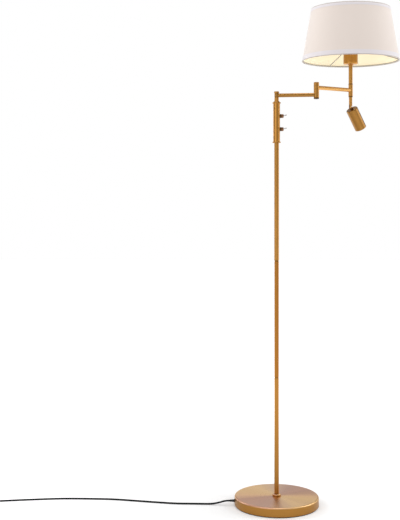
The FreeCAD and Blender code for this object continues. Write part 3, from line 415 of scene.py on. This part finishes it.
def object_coordinates(tree, turn=(0, 0, 0), centre=(0, 0, 0)):
    """Object coordinates, centred and turned by a Mapping node."""
    source = tree.nodes.new("ShaderNodeTexCoord")
    mapping = tree.nodes.new("ShaderNodeMapping")
    mapping.vector_type = "TEXTURE"
    feed_all(tree, mapping, Vector=source.outputs["Object"], Location=centre, Rotation=turn)
    return mapping.outputs["Vector"]


# ------------------------------------------------------------------ shared effects
def group_of(name, inputs, outputs):
    """An empty shader group: inputs are (name, type, default), and outputs are numbers."""
    tree = bpy.data.node_groups.new(name, "ShaderNodeTree")
    for label, kind, default in inputs:
        socket = tree.interface.new_socket(label, in_out="INPUT", socket_type=kind)
        if default is not None:
            socket.default_value = default
    for label in outputs:
        tree.interface.new_socket(label, in_out="OUTPUT", socket_type="NodeSocketFloat")
    return tree, tree.nodes.new("NodeGroupInput").outputs, tree.nodes.new("NodeGroupOutput")


def brushed_grain_group():
    """Long fine scratches, squeezed across the brushing and stretched along it, and patches."""
    tree, taken, given = group_of(
        "brushed_grain",
        [("Vector", "NodeSocketVector", None), ("Stretch", "NodeSocketVector", (2000, 2000, 40)),
         ("Patch Scale", "NodeSocketFloat", 30.0)],
        ["Streaks", "Patches"],
    )
    squeezed = vector_worked(tree, "MULTIPLY", taken["Vector"], taken["Stretch"])
    feed_all(
        tree, given,
        Streaks=noise_of(tree, squeezed, 1.0, detail=3.0, roughness=0.6),
        Patches=noise_of(tree, taken["Vector"], taken["Patch Scale"], detail=4.0, roughness=0.55),
    )
    return tree


def turned_grain_and_painted_fan_group():
    """Rings left by a lathe round +Z, faint rays across them, and two opposite sectors for a
    painted highlight.
    """
    tree, taken, given = group_of(
        "turned_grain_and_painted_fan",
        [("Vector", "NodeSocketVector", None), ("Ring Scale", "NodeSocketFloat", 1600.0),
         ("Ray Scale", "NodeSocketFloat", 6.0),
         ("Fan Axis", "NodeSocketVector", (-0.707, 0.707, 0))],
        ["Rings", "Rays", "Fan"],
    )
    flat = vector_worked(tree, "MULTIPLY", taken["Vector"], (1, 1, 0))
    way = vector_worked(tree, "NORMALIZE", flat)
    place = tree.nodes.new("ShaderNodeCombineXYZ")
    feed_all(
        tree, place,
        X=vector_worked(tree, "LENGTH", flat, output="Value"),
        Z=split_of(tree, taken["Vector"])["Z"],
    )
    # painted highlight: the sectors are brightest along the fan axis
    along = vector_worked(tree, "DOT_PRODUCT", way, taken["Fan Axis"], output="Value")
    feed_all(
        tree, given,
        Rings=noise_of(tree, place.outputs["Vector"], taken["Ring Scale"], 3.0, 0.6),
        Rays=noise_of(tree, way, taken["Ray Scale"], detail=5.0, roughness=0.6),
        Fan=worked(tree, "MULTIPLY", along, along),
    )
    return tree


def weave_group():
    """A plain weave on UV coordinates in metres: threads over and under, with uneven yarn."""
    tree, taken, given = group_of(
        "plain_weave",
        [("Vector", "NodeSocketVector", None), ("Threads", "NodeSocketFloat", 2000.0)],
        ["Height", "Yarn"],
    )
    split = split_of(tree, taken["Vector"])
    waves = [
        worked(tree, "SINE", worked(tree, "MULTIPLY", split[label], taken["Threads"]))
        for label in ("X", "Y")
    ]
    crossing = worked(tree, "MULTIPLY", *waves)
    feed_all(
        tree, given,
        Height=worked(tree, "MULTIPLY_ADD", crossing, 0.5, 0.5),
        Yarn=noise_of(tree, taken["Vector"], 900.0, detail=4.0),
    )
    return tree


GROUPS = {
    "brushed_grain": brushed_grain_group,
    "turned_grain_and_painted_fan": turned_grain_and_painted_fan_group,
    "plain_weave": weave_group,
}


def place_group(tree, name, vector, **values):
    """A shared effect inside a material, built the first time that it is asked for."""
    node = tree.nodes.new("ShaderNodeGroup")
    node.node_tree = bpy.data.node_groups.get(name) or GROUPS[name]()
    feed_all(tree, node, Vector=vector, **values)
    return node.outputs


# ------------------------------------------------------------------ finishes
def brushed_metal(name, light, dark, roughness, depth, stretch, turn=(0, 0, 0),
                  centre=(0, 0, 0)):
    """Metal brushed along one way, under patches of thicker lacquer."""
    material, tree, shader = material_of(name)
    grain = place_group(tree, "brushed_grain", object_coordinates(tree, turn, centre),
                        Stretch=stretch, Patch_Scale=PATCH_SCALE)
    patches = ranged(tree, grain["Patches"], 0.0, 0.2)
    feed_all(
        tree, shader,
        Base_Color=mixed_colour(tree, patches, light, dark),
        Roughness=ranged(tree, grain["Streaks"], roughness - 0.02, roughness + 0.03),
        Metallic=1.0, Coat_Weight=LACQUER, Coat_Roughness=0.28,
    )
    relief(tree, shader, grain["Streaks"], depth, GRAIN_HEIGHT)
    return material


def turned_metal(name, light, dark, roughness, depth, centre, sectors=None):
    """Metal turned on a lathe. Faces that look up, and rims as they round over, are painted paler
    as a highlight, and may have painted highlight sectors of two paler colours.
    """
    material, tree, shader = material_of(name)
    grain = place_group(tree, "turned_grain_and_painted_fan", object_coordinates(tree, centre=centre))
    wall = mixed_colour(tree, ranged(tree, grain["Rings"], 0.0, 0.35), light, dark)
    # painted highlight: two opposite sectors, streaked with rays, between a dimmer and a brighter
    # colour
    painted_fan = worked(
        tree, "ADD",
        ranged(tree, grain["Fan"], 0.0, 1.0, source=(0.1, 0.9)),
        ranged(tree, grain["Rays"], -0.15, 0.15),
    )
    painted_bright, painted_dim = sectors or (light, light)
    flat = mixed_colour(tree, painted_fan, painted_dim, painted_bright)
    # painted highlight: faces that look up, and rounded rims, take the paler colours instead of
    # the wall's
    facing = split_of(tree, tree.nodes.new("ShaderNodeTexCoord").outputs["Normal"])
    painted_top_mask = ranged(tree, facing["Z"], 0.0, 1.0, source=(0.1, 0.5))
    tangent = tree.nodes.new("ShaderNodeTangent")
    tangent.direction_type, tangent.axis = "RADIAL", "Z"
    feed_all(
        tree, shader,
        Base_Color=mix_of(tree, "RGBA", painted_top_mask, wall, flat),
        Roughness=ranged(tree, grain["Rings"], roughness - 0.05, roughness + 0.07),
        Metallic=1.0, Anisotropic=0.88, Coat_Weight=LACQUER, Coat_Roughness=0.25,
        Tangent=tangent.outputs["Tangent"],
    )
    relief(tree, shader, grain["Rings"], depth, GRAIN_HEIGHT)
    return material


def plain_solid(name, light, dark, roughness, scale, metallic=0.0, depth=0.1,
                distance=0.05 * MM, **constants):
    """A moulded, cast or plated surface: a fine mottle in colour, gloss and relief."""
    material, tree, shader = material_of(name)
    mottle = noise_of(tree, object_coordinates(tree), scale, detail=6.0, roughness=0.6)
    feed_all(
        tree, shader,
        Base_Color=mixed_colour(tree, ranged(tree, mottle, 0, 1), light, dark),
        Roughness=ranged(tree, mottle, roughness - 0.05, roughness + 0.08),
        Metallic=metallic, **constants,
    )
    relief(tree, shader, mottle, depth, distance)
    return material


def cloth_finish(name, colour, settings):
    """Fine woven cotton, stretched over the lining."""
    material, tree, shader = material_of(name)
    source = tree.nodes.new("ShaderNodeUVMap")
    source.uv_map = "cloth"
    weave = place_group(tree, "plain_weave", source.outputs["UV"],
                        Threads=math.pi / settings.weave_pitch)
    cloth = Vector(colour)
    feed_all(
        tree, shader,
        Base_Color=mixed_colour(tree, ranged(tree, weave["Yarn"], 0, 1), cloth, cloth * 0.94),
        Roughness=0.85, Sheen_Weight=0.5, Sheen_Roughness=0.5,
    )
    relief(tree, shader, weave["Height"], 0.35, 0.08 * MM)
    return material


def lining_finish(settings):
    """Stiff cream film that glows a little, as with the bulb's light behind it."""
    material, tree, shader = material_of("shade_film")
    mottle = noise_of(tree, object_coordinates(tree), 9.0, detail=3.0)
    film = Vector(settings.lining_colour)
    colour = mixed_colour(tree, ranged(tree, mottle, 0, 1), film, film * 0.95)
    feed_all(tree, shader, Base_Color=colour, Emission_Color=colour,
             Emission_Strength=settings.glow, Roughness=0.6)
    return material


def glass_finish(name, colour, roughness, transmission):
    """Glass with an uneven gloss."""
    material, tree, shader = material_of(name)
    mottle = noise_of(tree, object_coordinates(tree), 300.0, detail=2.0)
    feed_all(
        tree, shader,
        Base_Color=(*colour, 1), Transmission_Weight=transmission,
        Roughness=ranged(tree, mottle, roughness, roughness + 0.1),
    )
    return material


def finish_nodes(material, *names):
    """Gives CAD nodes a material."""
    for name in names:
        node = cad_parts[name]
        if not node.material_slots:
            node.data.materials.append(material)
        for slot in node.material_slots:
            slot.material = material


# ------------------------------------------------------------------ modelling helpers
def deselect():
    """Leaves edit mode and selects nothing."""
    if bpy.context.object and bpy.context.object.mode != "OBJECT":
        bpy.ops.object.mode_set(mode="OBJECT")
    bpy.ops.object.select_all(action="DESELECT")


def turned_piece(name, rings, middle):
    """A closed piece of rings (radius, height) round an upright axis: a circle, extruded and
    scaled ring by ring."""
    deselect()
    radius, height = rings[0]
    bpy.ops.mesh.primitive_circle_add(
        vertices=SHADE_SEGMENTS, radius=radius, location=(0, 0, height)
    )
    piece = bpy.context.object
    piece.name = name
    bpy.ops.object.transform_apply(location=True, rotation=True, scale=True)
    bpy.ops.object.mode_set(mode="EDIT")
    for next_radius, next_height in rings[1:]:
        bpy.ops.mesh.extrude_edges_move(
            TRANSFORM_OT_translate={"value": (0, 0, next_height - height)}
        )
        share = next_radius / radius
        bpy.ops.transform.resize(
            value=(share, share, 1), center_override=(0, 0, next_height)
        )
        radius, height = next_radius, next_height
    bpy.ops.mesh.select_all(action="SELECT")
    bpy.ops.mesh.remove_doubles(threshold=MERGE_DISTANCE)
    bpy.ops.mesh.normals_make_consistent(inside=False)
    bpy.ops.object.mode_set(mode="OBJECT")
    bpy.ops.object.shade_smooth_by_angle(angle=SMOOTH_ANGLE)
    piece.data.transform(Matrix.Translation(middle))
    return piece


def settle(piece, body, slot_name, material, *replaced):
    """Puts a finished piece on its body, with its material, and hides the nodes it replaces. Its
    slot name is not used.
    """
    piece.data.materials.clear()
    piece.data.materials.append(material)
    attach(piece, body)
    if replaced:
        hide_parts(*replaced)


def cone_uv(piece):
    """UV coordinates in metres: round the shade, and up it."""
    mesh = piece.data
    layer = mesh.uv_layers.new(name="cloth")
    for face in mesh.polygons:
        angles = []
        for index in face.vertices:
            place = mesh.vertices[index].co - STEM
            angles.append(math.atan2(place.y, place.x))
        wraps = max(angles) - min(angles) > math.pi
        for loop, index, angle in zip(face.loop_indices, face.vertices, angles):
            turn = angle + 2 * math.pi if wraps and angle < 0 else angle
            rise = mesh.vertices[index].co.z - SHADE_LOW
            layer.data[loop].uv = (turn * CLOTH_UV_RADIUS, rise)


# ------------------------------------------------------------------ operators
class LAMP_OT_lead(bpy.types.Operator):
    """The mains lead: from the base's bush over the floor to its coil and plug"""
    bl_idname = "lamp.lead"
    bl_label = "Mains lead"

    def execute(self, context):
        settings = context.scene.lamp_lead
        points = lead_points()
        curve = bpy.data.curves.new("mains_lead", "CURVE")
        curve.dimensions = "3D"
        spline = curve.splines.new("NURBS")
        spline.points.add(len(points) - 1)
        for target, place in zip(spline.points, points):
            target.co = (*place, 1)
        spline.order_u = 3
        spline.use_endpoint_u = True
        spline.resolution_u = 6
        curve.bevel_depth = settings.diameter / 2
        curve.bevel_resolution = 5
        curve.use_fill_caps = True
        lead = bpy.data.objects.new("mains_lead", curve)
        context.scene.collection.objects.link(lead)
        colour = Vector(settings.colour)
        sheath = plain_solid("lead_sheath", colour, colour * 0.6, 0.7, 260.0, depth=0.15,
                             Specular_IOR_Level=0.2)
        settle(lead, "stand", "cord", sheath, "cord_run", "cord_coil")
        finish_nodes(sheath, "inner_lead")
        plug = plain_solid("plug_rubber", colour * 1.4, colour, 0.5, 800.0, depth=0.3)
        finish_nodes(plug, "plug_body", "cord_bush")
        pins = plain_solid("pin_nickel", srgb(205, 203, 198), srgb(180, 178, 172), 0.22, 500.0,
                           metallic=1.0)
        finish_nodes(pins, "plug_pins")
        return {"FINISHED"}


class LAMP_OT_stage(bpy.types.Operator):
    """The pale floor, the soft studio light and the camera at the photograph's angle"""
    bl_idname = "lamp.stage"
    bl_label = "Floor, lights and camera"

    def execute(self, context):
        settings = context.scene.lamp_stage
        scene = context.scene
        scene.view_settings.view_transform = "Standard"
        deselect()
        bpy.ops.object.camera_add(location=settings.camera_place, rotation=(math.pi / 2, 0, 0))
        camera = context.object
        camera.data.sensor_fit = "VERTICAL"
        camera.data.sensor_height = 36
        camera.data.lens = settings.lens
        camera.data.shift_y = settings.rise
        scene.camera = camera
        self.floor()
        self.surroundings(scene)
        left_power = settings.side_power
        powers = settings.key_power, left_power, left_power * RIGHT_SHARE, settings.top_power
        for (name, shape), power in zip(LIGHTS.items(), powers):
            self.light(name, *shape, power)
        return {"FINISHED"}

    @staticmethod
    def seen_light(tree, *kinds):
        """1 for rays from the camera and of the kinds named, and 0 for those that carry light."""
        path = tree.nodes.new("ShaderNodeLightPath")
        total = path.outputs["Is Camera Ray"]
        for label in kinds:
            total = worked(tree, "MAXIMUM", total, path.outputs[label])
        return total

    def floor(self):
        """A floor that looks white, a little darker round the base, and lights nothing."""
        deselect()
        bpy.ops.mesh.primitive_plane_add(size=FLOOR_SIZE, location=(0, 0, 0))
        floor = bpy.context.object
        floor.name = "floor"
        material, tree, shader = material_of("studio_floor")
        place = object_coordinates(tree, centre=FLOOR_CENTRE)
        distance = vector_worked(tree, "LENGTH", place, output="Value")
        glow = ranged(tree, distance, *FLOOR_GLOW, source=FLOOR_GLOW_REACH)
        seen = self.seen_light(tree, "Is Glossy Ray", "Is Transmission Ray")
        feed_all(
            tree, shader,
            Base_Color=(0.92, 0.92, 0.92, 1), Roughness=0.9, Specular_IOR_Level=0.1,
            Emission_Color=(1, 1, 1, 1), Emission_Strength=worked(tree, "MULTIPLY", seen, glow),
        )
        floor.data.materials.append(material)

    def surroundings(self, scene):
        """White all round to the eye, and to gloss a studio with paler and darker panels."""
        world = bpy.data.worlds.new("studio")
        world.use_nodes = True
        scene.world = world
        tree = world.node_tree
        source = tree.nodes.new("ShaderNodeTexCoord")
        split = split_of(tree, source.outputs["Generated"])
        back = worked(tree, "MULTIPLY", split["Y"], -1)
        compass = worked(tree, "ARCTAN2", split["X"], back)
        panels = tree.nodes.new("ShaderNodeValToRGB")
        feed_all(tree, panels, Fac=ranged(tree, compass, 0, 1, source=(-math.pi, math.pi)))
        ramp = panels.color_ramp
        while len(ramp.elements) < len(PANELS):
            ramp.elements.new(0.5)
        for element, (place, level) in zip(ramp.elements, PANELS):
            element.position = place
            element.color = (level, level, level, 1)
        high = ranged(tree, split["Z"], 0, 1, source=(0.5, 0.9))
        studio = mix_of(tree, "FLOAT", high, panels.outputs["Color"], OVERHEAD_LEVEL)
        path = tree.nodes.new("ShaderNodeLightPath")
        room = scene.lamp_stage.room_level
        unseen = mix_of(tree, "FLOAT", path.outputs["Is Glossy Ray"], room, studio)
        seen = self.seen_light(tree, "Is Transmission Ray")
        feed_all(tree, tree.nodes["Background"], Color=(1, 1, 1, 1),
                 Strength=mix_of(tree, "FLOAT", seen, unseen, 1.0))

    @staticmethod
    def light(name, place, width, height, power):
        """A rectangular light that looks at the lamp."""
        deselect()
        bpy.ops.object.light_add(type="AREA", location=place)
        lamp = bpy.context.object
        lamp.name = name
        lamp.data.shape = "RECTANGLE"
        lamp.data.size = width
        lamp.data.size_y = height
        lamp.data.energy = power
        lamp.rotation_euler = (LIGHT_AIM - Vector(place)).to_track_quat("-Z", "Y").to_euler()


class LAMP_OT_shade(bpy.types.Operator):
    """The shade: stretched cloth with a hem at each rim, over its lining"""
    bl_idname = "lamp.shade"
    bl_label = "Shade"

    def execute(self, context):
        settings = context.scene.lamp_shade
        cotton = cloth_finish("shade_cotton", settings.cloth_colour, settings)
        hem_cotton = cloth_finish("hem_cotton", settings.hem_colour, settings)
        painted_fold_shade = cloth_finish("painted_fold_shade", settings.fold_shade_colour, settings)
        axis = Vector((STEM.x, STEM.y, 0))
        low, high = SHADE_LOW, SHADE_HIGH
        slope = (settings.bottom_radius - settings.top_radius) / (high - low)

        def ring(height, inset):
            return settings.bottom_radius - slope * (height - low) - inset, height

        heights = [low + (high - low) * step / SHADE_STEPS for step in range(SHADE_STEPS + 1)]
        rings = [ring(height, CLOTH_INSET) for height in heights]
        rings += [ring(height, CLOTH_INSET + CLOTH_THICKNESS) for height in reversed(heights)]
        cloth = turned_piece("shade_cloth", [*rings, rings[0]], axis)
        cone_uv(cloth)
        settle(cloth, "outer_arm", "shade_cloth", cotton, "shade_fabric")
        for name, rim, inwards, depth, replaced in (
            ("bottom_hem", low, 1, 15, ["shade_hems"]), ("top_hem", high, -1, 10, []),
        ):
            profile = [(HEM_SKIN, depth), (HEM_SKIN, depth / 2), (HEM_SKIN, FOLD_SHADE_REACH)]
            profile += [*HEM_FOLD, (HEM_BACK, depth / 2), (HEM_BACK, depth), (HEM_SKIN, depth)]
            rings = [ring(rim + rise * inwards * MM, inset * MM) for inset, rise in profile]
            piece = turned_piece(name, rings, axis)
            cone_uv(piece)
            settle(piece, "outer_arm", "shade_cloth", hem_cotton, *replaced)
            # painted shade: the fold's faces near the rim take the darker cotton
            piece.data.materials.append(painted_fold_shade)
            for face in piece.data.polygons:
                if (face.center.z - rim) * inwards < FOLD_SHADE_REACH * MM:
                    face.material_index = 1
        finish_nodes(lining_finish(settings), "shade_lining")
        wire = plain_solid("shade_wire", srgb(176, 170, 160), srgb(150, 144, 134), 0.4, 400.0,
                           metallic=0.3)
        finish_nodes(wire, "shade_fitter", "shade_top_ring")
        return {"FINISHED"}


class LAMP_OT_brass(bpy.types.Operator):
    """The brass finish of the base, pole, housing, arms, stem and reading head"""
    bl_idname = "lamp.brass"
    bl_label = "Brass finish"

    def execute(self, context):
        settings = context.scene.lamp_brass
        light, dark = Vector(settings.colour), Vector(settings.dark_colour)
        painted_bright, painted_dim = Vector(settings.painted_highlight_colour), Vector(settings.painted_dim_sector_colour)
        gloss = settings.roughness, settings.grain_depth

        # painted highlight: the base's top takes two sectors of paler colour
        base = turned_metal("base_brass", light, dark, *gloss, (0, 0, 0), (painted_bright, painted_dim))
        finish_nodes(base, "base_cover", "base_collar")
        for section, age in POLE_AGES.items():
            aged = light.lerp(dark, age) * POLE_TONE
            pole = brushed_metal(f"{section}_brass", aged, aged.lerp(dark, POLE_PATCHES), *gloss,
                                 UPRIGHT)
            finish_nodes(pole, section)
        aged = light.lerp(dark, HOUSING_AGE) * HOUSING_TONE
        housing = brushed_metal("housing_brass", aged, dark, *gloss, UPRIGHT)
        finish_nodes(housing, "switch_housing", "pivot_post")
        stem = brushed_metal("stem_brass", light, dark, *gloss, UPRIGHT, centre=tuple(STEM))
        finish_nodes(stem, "tee_hub", "upper_stem", "reading_stem", "lamp_cup")

        caps = turned_metal("cap_brass", light, dark, *gloss, (0, 0, 0))
        finish_nodes(caps, "housing_bottom_cap", "housing_top_cap", "pivot_cap")
        elbow = turned_metal("elbow_brass", light, dark, *gloss, tuple(middle_of("elbow_pin")))
        finish_nodes(elbow, "elbow_lower_barrel", "elbow_upper_barrel", "elbow_top_cap")
        collar = turned_metal("collar_brass", light, dark, *gloss, tuple(STEM))
        finish_nodes(collar, "cup_collar")

        # painted shade: the inner arm is a darker copy of the brass
        light_tone, dark_tone = INNER_ARM_PAINTED_SHADE
        inner = brushed_metal("inner_arm_brass", light * light_tone, dark * dark_tone, *gloss,
                              LYING, (0, 0, INNER_AZIMUTH))
        finish_nodes(inner, "inner_hub", "inner_arm_tube")
        # painted highlight: the outer arm is a paler copy of the brass
        outer = brushed_metal("outer_arm_brass", light.lerp(painted_bright, OUTER_ARM_PAINTED_HIGHLIGHT), light, *gloss,
                              LYING, (0, 0, OUTER_AZIMUTH))
        finish_nodes(outer, "outer_arm_tube")
        # painted shade: the reading head is a darker copy of the brass
        light_tone, dark_tone = HEAD_PAINTED_SHADE
        head = brushed_metal("head_brass", light * light_tone, dark * dark_tone, *gloss,
                             HEAD_GRAIN, (0, -HEAD_TILT, HEAD_AZIMUTH),
                             tuple(middle_of("pivot_screw")))
        finish_nodes(head, "head_tube", "head_rear_cap", "head_eye")

        trim = Vector(settings.trim_colour)
        bronze = plain_solid("bronze_trim", trim * 1.3, trim * 0.8, 0.38, 600.0, metallic=0.9)
        finish_nodes(bronze, "stem_ring", "elbow_bottom_nut", "swivel_washer", "switch_saddles",
                     "pole_couplers")
        nut = Vector(settings.nut_colour)
        nut_bronze = plain_solid("nut_bronze", nut, nut * 0.7, 0.25, 600.0, metallic=1.0)
        finish_nodes(nut_bronze, "switch_nuts")
        return {"FINISHED"}


class LAMP_OT_fittings(bpy.types.Operator):
    """The finish of the steel, plastic, glass and iron pieces"""
    bl_idname = "lamp.fittings"
    bl_label = "Fittings"

    def execute(self, context):
        steel = brushed_metal("zinc_steel", srgb(190, 190, 190), srgb(160, 160, 162),
                              roughness=0.3, depth=0.1, stretch=STEEL_GRAIN)
        finish_nodes(steel, "stand_nipples", "stand_nuts", "elbow_pin", "cup_nipple",
                     "pivot_screw", "swivel_nut", "switch_bodies")
        for name, light, dark, looks, nodes in PLASTIC_AND_METAL:
            finish_nodes(plain_solid(name, srgb(*light), srgb(*dark), **looks), *nodes)
        opal = glass_finish("opal_glass", srgb(255, 250, 238), roughness=0.35, transmission=0.4)
        finish_nodes(opal, "bulb_globe")
        lens = glass_finish("lens_glass", srgb(240, 242, 244), roughness=0.2, transmission=0.8)
        finish_nodes(lens, "head_lens")
        return {"FINISHED"}


PIECES = (LAMP_OT_stage, LAMP_OT_lead, LAMP_OT_shade, LAMP_OT_brass, LAMP_OT_fittings)
SETTINGS = {
    "lamp_brass": LampBrassSettings,
    "lamp_shade": LampShadeSettings,
    "lamp_lead": LampLeadSettings,
    "lamp_stage": LampStageSettings,
}


class LAMP_PT_panel(bpy.types.Panel):
    """Lists the pieces and their settings"""
    bl_idname = "LAMP_PT_panel"
    bl_label = "Floor lamp"
    bl_space_type = "VIEW_3D"
    bl_region_type = "UI"
    bl_category = "Lamp"

    def draw(self, context):
        for piece in PIECES:
            self.layout.operator(piece.bl_idname)
        for name, kind in SETTINGS.items():
            box = self.layout.box()
            for setting in kind.__annotations__:
                box.prop(getattr(context.scene, name), setting)


CLASSES = (*SETTINGS.values(), *PIECES, LAMP_PT_panel)


def register():
    for kind in CLASSES:
        bpy.utils.register_class(kind)
    for name, kind in SETTINGS.items():
        setattr(bpy.types.Scene, name, bpy.props.PointerProperty(type=kind))


def unregister():
    for name in SETTINGS:
        delattr(bpy.types.Scene, name)
    for kind in reversed(CLASSES):
        bpy.utils.unregister_class(kind)


def main():
    register()
    bpy.ops.lamp.stage()
    bpy.ops.lamp.lead()
    bpy.ops.lamp.shade()
    bpy.ops.lamp.brass()
    bpy.ops.lamp.fittings()


if __name__ == "__main__":
    main()
